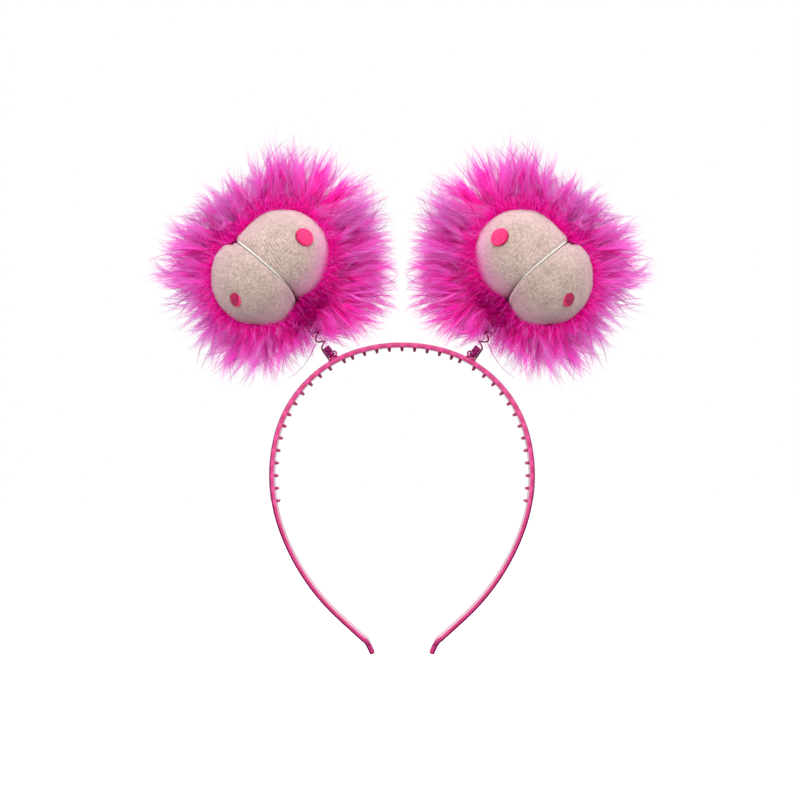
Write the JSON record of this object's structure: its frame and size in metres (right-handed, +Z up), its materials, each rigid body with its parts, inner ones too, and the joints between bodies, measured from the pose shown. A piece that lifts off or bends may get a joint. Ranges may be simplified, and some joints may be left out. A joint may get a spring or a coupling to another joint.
{
  "type": "head bopper",
  "caption": "Toothed plastic headband with coil springs that carry two-lobed stuffed fabric balls, each with felt dots and a wreath of marabou down.",
  "frame": {"origin": "middle of the crown's inner face, where the band rests on the head", "axes": "+Z up, +X to the right seen from the front, -Y towards the front, which the dots face"},
  "size_m": [0.2254, 0.0645, 0.2405],
  "materials": {
    "pink_plastic": "glossy moulded plastic, hot pink",
    "magenta_wire": "dark magenta metallic spring wire",
    "beige_knit": "matte fine knit, beige",
    "white_cord": "white twisted cord",
    "pink_felt": "matte felt, hot pink",
    "pink_down": "fine marabou down, hot pink, paler towards the tips"
  },
  "bodies": {
    "root": {"headband": "pink_plastic", "spring_left": "magenta_wire", "upper_lobe_left": "beige_knit", "lower_lobe_left": "beige_knit", "seam_cord_left": "white_cord", "upper_dot_left": "pink_felt", "lower_dot_left": "pink_felt", "marabou_left": "pink_down", "spring_right": "magenta_wire", "upper_lobe_right": "beige_knit", "lower_lobe_right": "beige_knit", "seam_cord_right": "white_cord", "upper_dot_right": "pink_felt", "lower_dot_right": "pink_felt", "marabou_right": "pink_down"}
  },
  "joints": []
}
